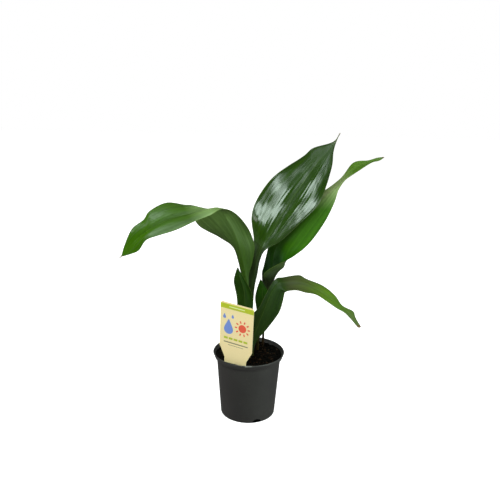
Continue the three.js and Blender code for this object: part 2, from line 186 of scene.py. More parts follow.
# Each leaf is a stalk and a blade. A stalk is the points of its middle, its half width, and the side
# that its right edge is on. A blade station is a point of the midrib, the way from there to the left and
# to the right margin, seen from the stalk on the upper face, and how far each half bellies downwards.
# A leaf with a roll has its margins turned down by that much.
LEAVES = {
    "leaf_arching_left": {
        "stalk": [(-3, -3, STALK_FOOT), (-3, -3, 140), (-4, -6, 199), (-5, -8, 227)],
        "half": 3,
        "side": (-1, 0, 0),
        "blade": [
            [(-8, -10, 250), (6, 4, -1), (-7, 4, 0), (1, 1)],
            [(-12, -13, 271), (15, 11, -1), (-8, 7, -2), (2, 2)],
            [(-17, -18, 295), (23, 14, 0), (-12, 10, 0), (3, 3)],
            [(-27, -26, 323), (23, 6, 4), (-21, 12, -13), (-3, 3)],
            [(-38, -36, 346), (15, -2, 8), (-30, 14, -24), (-2, 3)],
            [(-50, -47, 363), (6, -19, 4), (-35, 15, -24), (-2, 3)],
            [(-67, -57, 365), (5, -17, -5), (-22, 17, -2), (-3, -2)],
            [(-91, -67, 360), (9, -13, -9), (-11, 17, 10), (-3, -3)],
            [(-119, -77, 353), (12, -13, -12), (-7, 15, 22), (-2, -4)],
            [(-142, -85, 343), (6, -11, -11), (-7, 12, 21), (-2, -3)],
            [(-155, -88, 335), (3, -10, -10), (-3, 9, 17), (-2, -2)],
            [(-168, -91, 324), (5, -6, -14), (-6, 6, 15), (-1, -1)],
            [(-179, -92, 311), (5, -3, -7), (-6, 2, 4), (0, 0)],
            [(-193, -93, 296), (1, 0, 2), (3, 0, 2), (0, 0)],
        ],
    },
    "leaf_tall": {
        "stalk": [(2, 8, STALK_FOOT), (2, 8, 150)],
        "half": 3,
        "side": (1, 0, 0),
        "roll": 2,
        "blade": [
            [(3, 10, 213), (-7, 1, -1), (4, 0, 0), (0, 0)],
            [(7, 13, 243), (-11, 3, 2), (5, 1, 0), (1, 0)],
            [(11, 16, 266), (-14, 5, 6), (5, 2, -1), (1, 1)],
            [(18, 22, 285), (-14, 10, 11), (7, 4, -4), (3, 1)],
            [(31, 29, 306), (-31, 13, 27), (22, 7, -10), (-2, -1)],
            [(49, 40, 336), (-41, 14, 25), (36, 8, -10), (-3, -2)],
            [(70, 52, 368), (-40, 14, 24), (42, 8, -16), (-3, -2)],
            [(92, 64, 399), (-33, 12, 16), (36, 8, -13), (-2, -2)],
            [(113, 76, 426), (-26, 10, 7), (22, 6, -10), (-2, -2)],
            [(130, 84, 444), (-27, 6, 1), (7, 3, -5), (-1, -1)],
            [(140, 90, 459), (-3, 1, -3), (2, 1, -1), (0, 0)],
            [(147, 94, 470), (-0.7, 0, 0.3), (0.7, 0, -0.3), (0, 0)],
        ],
    },
    "leaf_back_right": {
        "stalk": [(25, 38, STALK_FOOT), (25, 38, 130), (28, 36, 162), (30, 36, 186)],
        "half": 2,
        "side": (1, 0, 0),
        "blade": [
            [(36, 37, 212), (-15, 4, 6), (-9, -6, 10), (2, 4)],
            [(40, 38, 223), (-20, 6, 13), (-16, -9, 16), (1, 9)],
            [(38, 50, 242), (-15, 2, 4), (6, -22, 13), (2, 16)],
            [(41, 60, 269), (-12, 4, 3), (33, -14, -3), (2, 8)],
            [(53, 66, 292), (-17, 14, 14), (49, 0, -7), (2, -2)],
            [(77, 80, 320), (-19, 16, 16), (50, 0, -2), (2, -2)],
            [(107, 94, 347), (-13, 18, 14), (37, -2, 4), (2, -2)],
            [(135, 104, 366), (-12, 14, -2), (16, -8, 8), (2, -3)],
            [(159, 112, 388), (-3, 12, 1), (3, -14, 3), (1, 1)],
            [(182, 116, 405), (-5, 6, 12), (3, -10, 0), (-1, 1)],
            [(206, 118, 419), (-4, 2, 3), (1, -6, 0), (0, 0)],
            [(219, 119, 423), (-1, 1, 4), (2, -2, -1), (0, 0)],
            [(230, 120, 428), (-0.4, 0, 0.6), (0.4, 0, -0.6), (0, 0)],
        ],
    },
    "leaf_arching_right": {
        "stalk": [(6, -6, STALK_FOOT), (6, -6, 117)],
        "half": 3,
        "side": (1, 0, 0),
        "blade": [
            [(7, -6, 136), (-4, 0, 4), (8, 0, -2), (1, 1)],
            [(15, -8, 161), (-10, 0, 16), (19, 0, -1), (1, 1)],
            [(24, -12, 189), (-7, 0, 7), (26, 2, -2), (2, 1)],
            [(34, -12, 216), (-8, 2, 0), (23, 4, 3), (2, 0)],
            [(46, -7, 234), (-5, 5, 5), (12, -6, -13), (1, 1)],
            [(59, 0, 234), (-5, 8, 6), (3, -10, -12), (0, 1)],
            [(76, 6, 233), (4, 11, 8), (1, -12, -11), (-1, 2)],
            [(93, 8, 230), (0, 14, 4), (-1, -14, -11), (-1, 2)],
            [(115, 6, 218), (5, 14, 6), (-6, -12, -3), (-2, 1)],
            [(135, 2, 205), (7, 12, 3), (-6, -10, -2), (-2, -1)],
            [(150, -2, 196), (5, 10, -3), (-6, -7, -3), (-1, -1)],
            [(163, -6, 187), (9, 9, -2), (-7, -6, 0), (-1, -1)],
            [(172, -10, 177), (4, 5, -1), (-6, -3, 1), (0, 0)],
            [(182, -16, 163), (2.6, 1.5, 1), (-3.4, -1.5, 1), (0, 0)],
        ],
    },
    "leaf_short_front": {
        "stalk": [(-8, -15, STALK_FOOT), (-8, -15, 112)],
        "half": 3,
        "side": (1, 0, 0),
        "blade": [
            [(-9, -18, 156), (-7, 1, -1), (7, 1, 0), (0, 0)],
            [(-8, -20, 183), (-11, 2, -1), (12, 2, -1), (1, 1)],
            [(-8, -22, 210), (-13, 3, 0), (14, 3, -3), (2, 2)],
            [(-10, -24, 229), (-15, 3, 2), (10, 3, -1), (2, 2)],
            [(-16, -26, 248), (-10, 2, -3), (6, 2, -1), (1, 1)],
            [(-19, -27, 260), (-4, 1, -1), (2, 1, 0), (0, 0)],
            [(-20, -28, 266), (-0.7, 0, 0), (0.7, 0, 0), (0, 0)],
        ],
    },
    "leaf_small_inner": {
        "stalk": [(15, 15, STALK_FOOT), (15, 15, 130), (17, 17, 160)],
        "half": 2.4,
        "side": (1, 0, 0),
        "blade": [
            [(22, 20, 175), (-10, 2, 1), (-4, -6, 11), (1, 3)],
            [(22, 22, 196), (-13, 4, 0), (4, -6, 6), (1, 3)],
            [(21, 25, 209), (-10, 3, 0), (9, -3, 1), (1, 1)],
            [(20, 28, 219), (-6, 2, 0), (5, -1, -1), (0, 0)],
            [(18, 31, 228), (-0.7, 0, 0.3), (0.7, 0, -0.3), (0, 0)],
        ],
    },
}

# Colours along each leaf, from its foot to its tip: (share of the length, colour), upper face and lower face.
# Where a leaf has a value below, the tall leaf's shadow is painted on the left side of the fold in its lower
# half, on the upper face, and the value is how dark that painted shadow is
LEAF_COLOURS = {
    "leaf_arching_left": {
        # The pale grey stops at 0.5 and 0.58 are a painted sheen on the top of the leaf's arch
        "upper": [(0.0, "2d200d"), (0.1, "253a0d"), (0.5, "627c3a"), (0.58, "7c955a"), (0.66, "35530d"),
                  (0.75, "355806"), (1.0, "335c04")],
        "lower": [(0.0, "2d200d"), (0.1, "253c0d"), (0.3, "2d490a"), (0.45, "4c6430"), (0.56, "6c8a44")],
    },
    "leaf_tall": {
        "upper": [(0.0, "2c1f0e"), (0.1, "192b08"), (0.24, "152506"), (0.4, "223b08"), (0.75, "1d3605"),
                  (0.88, "213808"), (0.96, "5c5c3c")],
        "lower": [(0.0, "2c1f0e"), (0.1, "192b08"), (0.26, "131d06"), (0.36, "1c2c0a"), (0.5, "374d21"),
                  (1.0, "48582f")],
    },
    "leaf_back_right": {
        # The dark stops from 0.2 to 0.4 are painted shade inside the leaf's funnel
        "upper": [(0.0, "271107"), (0.12, "271708"), (0.2, "0f2e04"), (0.4, "194a08"), (0.48, "305e00"),
                  (0.6, "34600a"), (0.68, "8a9c66"), (0.74, "84965f"), (0.8, "4c6e1a"), (1.0, "566c38")],
        "lower": [(0.0, "271107"), (0.12, "1a0f05"), (0.28, "1a230e"), (0.4, "33461d"), (1.0, "47532f")],
        # How dark the painted shadow of the tall leaf is on this leaf's lower half
        "painted_shade": 0.65,
    },
    "leaf_arching_right": {
        "upper": [(0.0, "2e210e"), (0.1, "182a08"), (0.38, "1d340d"), (0.44, "22330d"), (0.5, "393d22"),
                  (0.6, "434f22"), (0.7, "4f6c1a"), (0.8, "48651c"), (1.0, "4a5830")],
        "lower": [(0.0, "2e210e"), (0.1, "223a10"), (0.4, "3c491f"), (0.6, "495529"), (1.0, "4b5b2f")],
    },
    "leaf_short_front": {
        "upper": [(0.0, "30240e"), (0.1, "142907"), (1.0, "1b3708")],
        "lower": [(0.0, "30240e"), (0.1, "1d3711"), (1.0, "30491b")],
    },
    "leaf_small_inner": {
        "upper": [(0.0, "271107"), (0.3, "132406"), (0.7, "163802"), (1.0, "183903")],
        "lower": [(0.0, "271107"), (0.3, "212911"), (0.7, "37442e"), (1.0, "2d4417")],
    },
}

# Each leaf's upper face: roughness, roughness near the tip, specular level; then its lower face in the same
# way, and the share of the leaf, from its foot, that is as matte as the lower face all round
LEAF_GLOSS = {
    "leaf_arching_left": ((0.42, 0.22, 0.4), (0.5, 0.5, 0.2), 0.3),
    "leaf_tall": ((0.16, 0.4, 0.6), (0.5, 0.5, 0.2), 0.39),
    "leaf_back_right": ((0.5, 0.5, 0.1), (0.5, 0.5, 0.25), 0.3),
    "leaf_arching_right": ((0.42, 0.5, 0.25), (0.5, 0.5, 0.25), 0),
    "leaf_short_front": ((0.5, 0.5, 0.08), (0.5, 0.5, 0.2), 0),
    "leaf_small_inner": ((0.5, 0.5, 0.08), (0.5, 0.5, 0.2), 0),
}

# Noise on a leaf: (millimetres across it, share of its length along it, detail). Real veins lie 1 to 2 mm
# apart, which is too fine for the render, so their streaks are drawn coarser
VEIN_NOISE = (5.25, 0.4, 0)
FINE_VEIN_NOISE = (3.28, 0.2, 0)
PATCH_NOISE = (12, 0.2, 2)

# Half the width of the widest blade, and how the veins crowd towards the midrib, which 1 would keep even
VEIN_REACH = 42
VEIN_CROWDING = 0.85


def deselect():
    for chosen in bpy.context.selected_objects:
        chosen.select_set(False)


def started(name):
    """The primitive that was just added, under its own name."""
    piece = bpy.context.active_object
    piece.name = name
    piece.data.name = name
    return piece


def select_only(piece):
    deselect()
    piece.select_set(True)
    bpy.context.view_layer.objects.active = piece


def smooth(piece, sharp_from):
    """Smooth shading, but for edges sharper than that many degrees."""
    select_only(piece)
    bpy.ops.object.shade_smooth_by_angle(angle=math.radians(sharp_from))


def apply_modifier(piece, kind, **settings):
    select_only(piece)
    modifier = piece.modifiers.new(kind.title(), kind)
    for name, value in settings.items():
        setattr(modifier, name, value)
    bpy.ops.object.modifier_apply(modifier=modifier.name)


def join(name, pieces):
    deselect()
    for piece in pieces:
        piece.select_set(True)
    bpy.context.view_layer.objects.active = pieces[0]
    bpy.ops.object.join()
    return started(name)


def settle(piece):
    """Puts the object's own place into its mesh."""
    piece.data.transform(piece.matrix_world)
    piece.matrix_world = Matrix.Identity(4)


def turned(name, profile, sides):
    """A turned solid: a disc whose edge is extruded along the profile, (radius, height) in millimetres, and
    closed at its end."""
    radius, height = profile[0]
    deselect()
    bpy.ops.mesh.primitive_circle_add(
        vertices=sides, radius=radius * MM, fill_type="NGON", location=(0, 0, height * MM))
    piece = started(name)
    bpy.ops.object.mode_set(mode="EDIT")
    bpy.ops.mesh.select_mode(type="EDGE")
    bpy.ops.mesh.select_all(action="SELECT")
    bpy.ops.mesh.region_to_loop()
    for next_radius, next_height in profile[1:]:
        grow = next_radius / radius
        bpy.ops.mesh.extrude_edges_move()
        bpy.ops.transform.resize(value=(grow, grow, 1), center_override=(0, 0, 0))
        bpy.ops.transform.translate(value=(0, 0, (next_height - height) * MM))
        radius, height = next_radius, next_height
    bpy.ops.mesh.edge_face_add()
    bpy.ops.mesh.select_all(action="SELECT")
    bpy.ops.mesh.normals_make_consistent(inside=False)
    bpy.ops.object.mode_set(mode="OBJECT")
    settle(piece)
    return piece


def finish_piece(piece, slot, *nodes):
    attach(piece, "root")
    if nodes:
        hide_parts(*nodes)


# Materials


def linear(colour):
    """An sRGB hex value as linear red, green, blue and alpha."""
    parts = [int(colour[i:i + 2], 16) / 255 for i in (0, 2, 4)]
    return [p / 12.92 if p <= 0.04045 else ((p + 0.055) / 1.055) ** 2.4 for p in parts] + [1]


def add(tree, kind, inputs=(), out=0, **settings):
    """Adds a node and gives one of its outputs. Its inputs, in their order or by name, are values or other
    outputs to link, and settings are its own properties."""
    node = tree.nodes.new("ShaderNode" + kind)
    for name, value in settings.items():
        setattr(node, name, value)
    for socket, value in (inputs if isinstance(inputs, dict) else dict(enumerate(inputs))).items():
        if isinstance(value, bpy.types.NodeSocket):
            tree.links.new(value, node.inputs[socket])
        else:
            node.inputs[socket].default_value = value
    return node.outputs[out] if len(node.outputs) else None


def surface(name):
    """A new material and its tree, emptied."""
    material = bpy.data.materials.new(name)
    material.use_nodes = True
    tree = material.node_tree
    tree.nodes.clear()
    return material, tree


def tint(tree, colour, layers):
    """Lays tints over a colour, in turn. Each has what it follows, a span of that, its strength at either end
    of the span, its own colour and, unless it just covers, the way it blends."""
    for source, low, high, start, end, shade, *way in layers:
        strength = add(tree, "MapRange", (source, low, high, start, end))
        blend = way[0] if way else "MIX"
        mixed = {0: strength, 6: colour, 7: linear(shade)}
        colour = add(tree, "Mix", mixed, 2, data_type="RGBA", blend_type=blend)
    return colour


def leaf_material(name, colours, painted_shade, matte, rough, tip_rough, level):
    """Cast iron plant leaf: a leathery blade under a waxy cuticle, whose fine parallel veins break its
    highlights into streaks."""
    material, tree = surface(name)
    blade = add(tree, "UVMap", uv_map="blade")
    across = add(tree, "SeparateXYZ", (blade,), "X")
    along = add(tree, "SeparateXYZ", (blade,), "Y")
    centred = add(tree, "Math", (across, 2, -1), operation="MULTIPLY_ADD")
    margin = add(tree, "Math", (centred,), operation="ABSOLUTE")
    place = add(tree, "UVMap", uv_map="veins")
    noises = []
    for width, length, detail in (VEIN_NOISE, FINE_VEIN_NOISE, PATCH_NOISE):
        scaled = add(tree, "Mapping", {"Vector": place, "Scale": (2 * VEIN_REACH / width, 1 / length, 1)})
        noises.append(add(tree, "TexNoise", {"Vector": scaled, "Scale": 1, "Detail": detail}))
    veins, fine, patches = noises

    # The colour runs from the foot to the tip, under the veins, pale patches, midrib, rim and dry tip
    bands = add(tree, "ValToRGB", (along,))
    stops = bands.node.color_ramp.elements
    while len(stops) < len(colours):
        stops.new(0.5)
    for stop, (share, shade) in zip(stops, colours):
        stop.position = share
        stop.color = linear(shade)
    tinted = tint(tree, bands, [
        (veins, 0.35, 0.65, 0, 0.3, "8a9a7a", "MULTIPLY"),
        (fine, 0.4, 0.7, 0, 0.18, "a0ac80", "MULTIPLY"),
        (patches, 0.35, 0.75, 0, 0.12, "4c6a1c"),
        (margin, 0, 0.03, 0.2, 0, "56702c"),
        (margin, 0.97, 1, 0, 0.3, "6a7834"),
        (along, 0.975, 0.992, 0, 1, "5c4c30"),
    ])
    # Painted shadow: where the tall leaf shades it, the left side of the lower half darkens towards near black
    left_side = add(tree, "MapRange", (across, 0.6, 0.72, painted_shade, 0))
    lower_half = add(tree, "MapRange", (along, 0.56, 0.66, 1, 0))
    shaded = add(tree, "Math", (left_side, lower_half), operation="MULTIPLY")
    colour = add(tree, "Mix", {0: shaded, 6: tinted, 7: linear("081402")}, 2, data_type="RGBA")

    # The cuticle is duller at the foot and the tip, and a little duller at the margin and along the veins
    blade_rough = add(tree, "MapRange", (along, 0.72, 0.84, rough, tip_rough))
    foot_rough = add(tree, "MapRange", (along, matte - 0.03, matte + 0.07, 0.6, 0))
    roughness = add(tree, "Math", (blade_rough, foot_rough), operation="MAXIMUM")
    for span in ((margin, 0.9, 1, 0, 0.1), (patches, 0.3, 0.7, -0.03, 0.03), (veins, 0.44, 0.64, 0, 0.11)):
        duller = add(tree, "MapRange", span)
        roughness = add(tree, "Math", (roughness, duller), operation="ADD")
    ridges = add(tree, "Math", (fine, 0.3, veins), operation="MULTIPLY_ADD")
    bump = add(tree, "Bump", {"Height": ridges, "Strength": 0.2, "Distance": 0.5 * MM})
    skin = add(tree, "BsdfPrincipled", {
        "Base Color": colour, "Roughness": roughness, "Normal": bump,
        "IOR": 1.45, "Specular IOR Level": level})
    add(tree, "OutputMaterial", {"Surface": skin})
    return material


def pot_material():
    """Injection-moulded recycled polypropylene: matte charcoal with a faint grain, a painted highlight that
    lightens its lip, and a pale oval on the front of the lip."""
    material, tree = surface("moulded_polypropylene")
    place = add(tree, "TexCoord", out="Object")
    height = add(tree, "SeparateXYZ", (place,), "Z")
    grain = add(tree, "TexNoise", {"Vector": place, "Scale": 1 / (POT_GRAIN * MM), "Detail": 2})
    cloud = add(tree, "TexNoise", {
        "Vector": place, "Scale": 1 / (POT_CLOUD * MM), "Detail": 4, "Roughness": 0.6})
    fleck = add(tree, "TexNoise", {
        "Vector": place, "Scale": 1 / (POT_FLECK * MM), "Detail": 3, "Roughness": 0.7})

    # The pale spot is a flat oval on the lip's front edge, broken up by the flecks
    offset = add(tree, "VectorMath", (place, [c * MM for c in PALE_SPOT_PLACE]), operation="SUBTRACT")
    shaped = add(tree, "VectorMath", (offset, [1 / (s * MM) for s in PALE_SPOT_SIZE]), operation="MULTIPLY")
    away = add(tree, "VectorMath", (shaped,), "Value", operation="LENGTH")
    broken = add(tree, "MapRange", (fleck, 0.3, 0.7, -0.5, 0.5))
    pale_spot = add(tree, "Math", (away, broken), operation="ADD")

    colour = tint(tree, linear("242221"), [
        (cloud, 0.3, 0.75, 0, 1, "2c2a28"),
        # Painted highlight: the lip is lighter towards its top
        (height, (POT_HEIGHT - LIP_DEPTH + 1) * MM, POT_HEIGHT * MM, 0, 0.35, "383735"),
        (fleck, 0.6, 0.8, 0, 0.45, "464542"),
        (pale_spot, 0.5, 1.1, 0.6, 0, "8a8a84"),
    ])
    rough = add(tree, "MapRange", (cloud, 0.3, 0.7, 0.46, 0.58))
    bump = add(tree, "Bump", {"Height": grain, "Strength": 0.25, "Distance": 0.1 * MM})
    plastic = add(tree, "BsdfPrincipled", {
        "Base Color": colour, "Roughness": rough, "Normal": bump, "Specular IOR Level": 0.6})
    add(tree, "OutputMaterial", {"Surface": plastic})
    return material


def earth_material(name, dark, light, lump):
    """Peat and its bits: matte, open and fibrous, so that it swallows light."""
    material, tree = surface(name)
    place = add(tree, "TexCoord", out="Object")
    lumps = add(tree, "TexNoise", {"Vector": place, "Scale": 1 / (lump * MM), "Detail": 6, "Roughness": 0.7})
    colour = tint(tree, linear(dark), [(lumps, 0.38, 0.72, 0, 1, light)])
    bump = add(tree, "Bump", {"Height": lumps, "Strength": 0.8, "Distance": 0.6 * MM})
    earth = add(tree, "BsdfPrincipled", {
        "Base Color": colour, "Roughness": 0.92, "Normal": bump, "Specular IOR Level": 0.1})
    add(tree, "OutputMaterial", {"Surface": earth})
    return material


def card_material():
    """Printed label card, a matte sheet with a linen-like emboss under a beige ink."""
    material, tree = surface("printed_card")
    place = add(tree, "UVMap", uv_map="card")
    mottle = add(tree, "TexNoise", {"Vector": place, "Scale": 1 / CARD_MOTTLE, "Detail": 4, "Roughness": 0.7})
    threads = []
    for axis in "XY":
        way = add(tree, "SeparateXYZ", (place,), axis)
        turn = add(tree, "Math", (way, math.tau / THREAD_SPACING), operation="MULTIPLY")
        threads.append(add(tree, "Math", (turn,), operation="SINE"))
    linen = add(tree, "Math", threads, operation="MULTIPLY")
    colour = tint(tree, linear("e6cf96"), [
        (mottle, 0.3, 0.7, 0, 1, "f2dfb2"),
        (linen, -1, 1, 0, 0.14, "b7a268"),
    ])
    bump = add(tree, "Bump", {"Height": linen, "Strength": 0.12, "Distance": 0.1 * MM})
    card = add(tree, "BsdfPrincipled", {"Base Color": colour, "Roughness": 0.5, "Normal": bump})
    add(tree, "OutputMaterial", {"Surface": card})
    return material


def ink_material(name, shade):
    """Offset printing ink, an even film with a slight sheen."""
    material, tree = surface(name)
    place = add(tree, "TexCoord", out="Object")
    dots = add(tree, "TexNoise", {"Vector": place, "Scale": 1 / (INK_DOT * MM), "Detail": 1})
    colour = tint(tree, linear(shade), [(dots, 0.3, 0.7, 0, 0.12, "d8ca9d")])
    ink = add(tree, "BsdfPrincipled", {"Base Color": colour, "Roughness": 0.42})
    add(tree, "OutputMaterial", {"Surface": ink})
    return material


# Leaves


def catmull_rom(points, t):
    """Points along the open curve through the given ones, at the shares t of its stretches."""
    points = np.asarray(points, float)
    ends = np.vstack([2 * points[0] - points[1], points, 2 * points[-1] - points[-2]])
    place = t * (len(points) - 1)
    first = np.clip(place.astype(int), 0, len(points) - 2)
    w = (place - first)[:, None]
    before, start, end, after = (ends[first + k] for k in range(4))
    leaving, arriving = (end - before) / 2, (after - start) / 2
    cubic = (2 * start - 2 * end + leaving + arriving) * w ** 3
    square = (3 * end - 3 * start - 2 * leaving - arriving) * w ** 2
    return cubic + square + leaving * w + start


def unit(vectors):
    return vectors / np.maximum(np.linalg.norm(vectors, axis=-1, keepdims=True), 1e-9)


def leaf_faces(leaf, seed):
    """The leaf's upper and lower points in millimetres, as grids of rows along and columns across, with each
    row's place along it and each column's across it."""
    stalk, blade = leaf["stalk"], leaf["blade"]
    edge = np.array(leaf["side"], float) * leaf["half"]
    middles = [np.array(p, float) for p in stalk] + [np.array(s[0], float) for s in blade]
    lefts = [-edge] * len(stalk) + [np.array(s[1], float) for s in blade]
    rights = [edge] * len(stalk) + [np.array(s[2], float) for s in blade]
    forms = [(0, 0, 1)] * len(stalk) + [(*s[3], 0) for s in blade]
    spans = len(middles) - 1
    t = np.linspace(0, 1, spans * ROWS_PER_STATION + 1)
    mid = catmull_rom(middles, t)
    left = catmull_rom([m + o for m, o in zip(middles, lefts)], t) - mid
    right = catmull_rom([m + o for m, o in zip(middles, rights)], t) - mid
    form = catmull_rom(forms, t)
    round_part = np.clip(form[:, 2], 0, 1)
    along = unit(np.gradient(mid, axis=0))
    q = np.linspace(-1, 1, COLUMNS)
    share = np.abs(q)[None, :, None]
    on_left = (q < 0)[None, :, None]
    reach = np.where(on_left, left[:, None], right[:, None])
    up = np.where(on_left, unit(np.cross(along, left))[:, None], unit(np.cross(right, along))[:, None])
    bow = np.where(on_left, form[:, 0, None, None], form[:, 1, None, None])
    length = np.linalg.norm(reach, axis=-1, keepdims=True)
    free = np.minimum(1, length / RIPPLE_WIDTH) * (1 - round_part)[:, None, None]
    place = (t * spans)[:, None, None]
    wave = np.sin(RIPPLE_TURN * place + np.where(on_left, 0, RIPPLE_LAG))
    lift = RIPPLE_HEIGHT * wave * free * share ** 2 - bow * 4 * share * (1 - share)
    lift = lift - leaf.get("roll", 0) * free * share ** 4

    # Finer relief: pleats between the parallel veins, and puckers that grow towards the margins
    tip_fade = np.clip((1 - t) * TIP_FADE, 0, 1)[:, None, None]
    walked = np.concatenate([[0], np.cumsum(np.linalg.norm(np.diff(mid, axis=0), axis=1))])
    run = walked[:, None, None] / RELIEF_PACE
    pleats = sum(
        height * np.cos(math.tau * count * share + np.sin(run * PLEAT_DRIFT + seed + count))
        for count, height in PLEATS
    )
    pleats = pleats * np.minimum(1, length / RIPPLE_WIDTH) ** 2 * (1 - round_part)[:, None, None] * tip_fade
    draw = random.Random(seed)

    def swells(count, pace, slant):
        total = np.zeros_like(lift)
        for _ in range(count):
            slope = draw.choice((-1, 1)) * draw.uniform(*slant)
            turn = draw.uniform(*pace) * run + slope * q[None, :, None] + draw.uniform(0, math.tau)
            total = total + np.sin(turn) / math.sqrt(count)
        return total

    puckers = PUCKER_RELIEF * swells(*PUCKERS) * (PUCKER_MIDDLE + (1 - PUCKER_MIDDLE) * share)
    puckers = (puckers + QUILT_RELIEF * swells(*QUILT)) * free * tip_fade
    points = mid[:, None] + reach * share + up * (lift + pleats + puckers)

    normal = unit(np.cross(np.gradient(points, axis=1), np.gradient(points, axis=0)))
    bulge = round_part[:, None] * leaf["half"] * STALK_DEPTH_RATIO * np.sqrt(1 - q ** 2)[None]
    flat = MARGIN_HALF_THICKNESS + (MIDDLE_HALF_THICKNESS - MARGIN_HALF_THICKNESS) * (1 - q ** 2)
    body = flat[None] + bulge
    from_rib = (length * share)[..., 0] / RIB_WIDTH
    rib = RIB_DEPTH * np.exp(-from_rib ** 2) * (1 - round_part)[:, None] * (1 - t)[:, None]
    upper = points + normal * (body - RIB_SUNK * rib)[..., None]
    lower = points - normal * (body + (1 - RIB_SUNK) * rib)[..., None]
    return upper, lower, t, q


def leaf_piece(name, leaf, seed):
    """A flat grid, thickened, and then drawn into the leaf's own shape."""
    upper, lower, t, q = leaf_faces(leaf, seed)
    rows, columns = len(t), len(q)
    deselect()
    bpy.ops.mesh.primitive_grid_add(x_subdivisions=columns - 1, y_subdivisions=rows - 1, size=0.2)
    piece = started("blade_" + name)
    apply_modifier(piece, "SOLIDIFY", thickness=1 * MM, offset=-1)
    mesh = piece.data
    count = rows * columns
    skins = np.concatenate([upper.reshape(-1, 3), lower.reshape(-1, 3)]) * MM
    mesh.vertices.foreach_set("co", skins.ravel())
    corners = np.empty(len(mesh.loops), dtype=np.int32)
    mesh.loops.foreach_get("vertex_index", corners)
    reach = np.linalg.norm(upper - upper[:, columns // 2, None], axis=-1)
    thinned = np.sign(q) * (np.abs(q) * reach / VEIN_REACH) ** VEIN_CROWDING
    places = {
        "blade": np.stack([np.tile((q + 1) / 2, rows), np.repeat(t, columns)], axis=1),
        "veins": np.stack([thinned.ravel() / 2, np.repeat(t, columns)], axis=1),
    }
    for layer in list(mesh.uv_layers):
        mesh.uv_layers.remove(layer)
    for layer_name, place in places.items():
        both = np.concatenate([place, place])
        layer = mesh.uv_layers.new(name=layer_name)
        layer.data.foreach_set("uv", both[corners].astype(np.float32).ravel())
    colours, (upper_gloss, lower_gloss, matte) = LEAF_COLOURS[name], LEAF_GLOSS[name]
    foot = columns * int(matte * rows)
    for polygon in mesh.polygons:
        first = min(polygon.vertices)
        polygon.material_index = int(first >= count or first < foot)
    mesh.update()
    smooth(piece, sharp_from=50)
    painted_shade = colours.get("painted_shade", 0)
    mesh.materials.append(leaf_material("cuticle_" + name, colours["upper"], painted_shade, matte, *upper_gloss))
    mesh.materials.append(leaf_material("underside_" + name, colours["lower"], 0, matte, *lower_gloss))
    settle(piece)
    finish_piece(piece, "leaf", name)
    return piece


# Pot


def outer_radius(height):
    share = height / (POT_HEIGHT - LIP_DEPTH)
    return FOOT_RADIUS + (NECK_RADIUS - FOOT_RADIUS) * share


def arc(centre, radius, start, end, steps):
    """Points on an arc of the pot's profile, as radius and height, with angles in degrees."""
    turns = [math.radians(start + (end - start) * i / steps) for i in range(steps + 1)]
    return [(centre[0] + radius * math.cos(a), centre[1] + radius * math.sin(a)) for a in turns]


def pot_profile():
    """The pot's cross-section as radius and height: from the pad under its floor up the outside, over the lip
    and down the inside."""
    lip_foot = POT_HEIGHT - LIP_DEPTH
    floor_top = FLOOR_UNDERSIDE + WALL
    ring_inner = FOOT_RADIUS - FOOT_RING_WIDTH
    return [
        (PAD_RADIUS, 0),
        (PAD_RADIUS + 0.6, 0.4),
        (PAD_RADIUS + 1, FLOOR_UNDERSIDE),
        (ring_inner - 1, FLOOR_UNDERSIDE),
        (ring_inner - 0.2, 0.3),
        (ring_inner + 0.3, 0),
        *arc((FOOT_RADIUS - 0.9, 0.9), 0.9, -90, 0, 4),
        (outer_radius(3), 3),
        *[(outer_radius(z), z) for z in range(10, 95, 12)],
        (outer_radius(98), 98),
        *arc((NECK_RADIUS + 1.0, lip_foot - 1.2), 1.0, 180, 100, 4),
        *arc((LIP_FOOT_RADIUS - 0.9, lip_foot + 0.7), 0.9, -80, 0, 4),
        (LIP_FOOT_RADIUS + 1.1, lip_foot + 4),
        *arc((RIM_RADIUS - 1.1, POT_HEIGHT - 1.2), 1.1, -15, 200, 12),
        (LIP_FOOT_RADIUS - WALL + 0.5, lip_foot + 3.4),
        (NECK_RADIUS - WALL + 0.8, lip_foot + 0.4),
        (NECK_RADIUS - WALL, lip_foot - 2),
        *[(outer_radius(z) - WALL, z) for z in (80, 60, 40, 20)],
        (outer_radius(floor_top + 2) - WALL, floor_top + 2),
        (outer_radius(floor_top) - WALL - 1.8, floor_top),
        (20, floor_top),
    ]


def notch_cutter(angle):
    """A low arch through the foot, where water runs out."""
    deselect()
    bpy.ops.mesh.primitive_cylinder_add(vertices=48, radius=1, depth=NOTCH_CUT * MM, end_fill_type="NGON")
    cutter = started("cutter")
    half, height = NOTCH_WIDTH / 2 - NOTCH_INSET, NOTCH_HEIGHT
    squash = Matrix.Diagonal((half * MM, height * MM, 1, 1))
    outward = Matrix.Rotation(angle, 4, "Z") @ Matrix.Translation((FOOT_RADIUS * MM, 0, 0))
    upright = Matrix.Rotation(math.pi / 2, 4, "Z") @ Matrix.Rotation(math.pi / 2, 4, "X")
    cutter.matrix_world = outward @ upright @ squash
    settle(cutter)
    return cutter


def drain_cutter(angle):
    deselect()
    place = Vector((DRAIN_CIRCLE * math.cos(angle), DRAIN_CIRCLE * math.sin(angle), FLOOR_UNDERSIDE)) * MM
    bpy.ops.mesh.primitive_cylinder_add(
        vertices=32, radius=DRAIN_RADIUS * MM, depth=DRAIN_CUT * MM, location=place)
    cutter = started("cutter")
    settle(cutter)
    return cutter


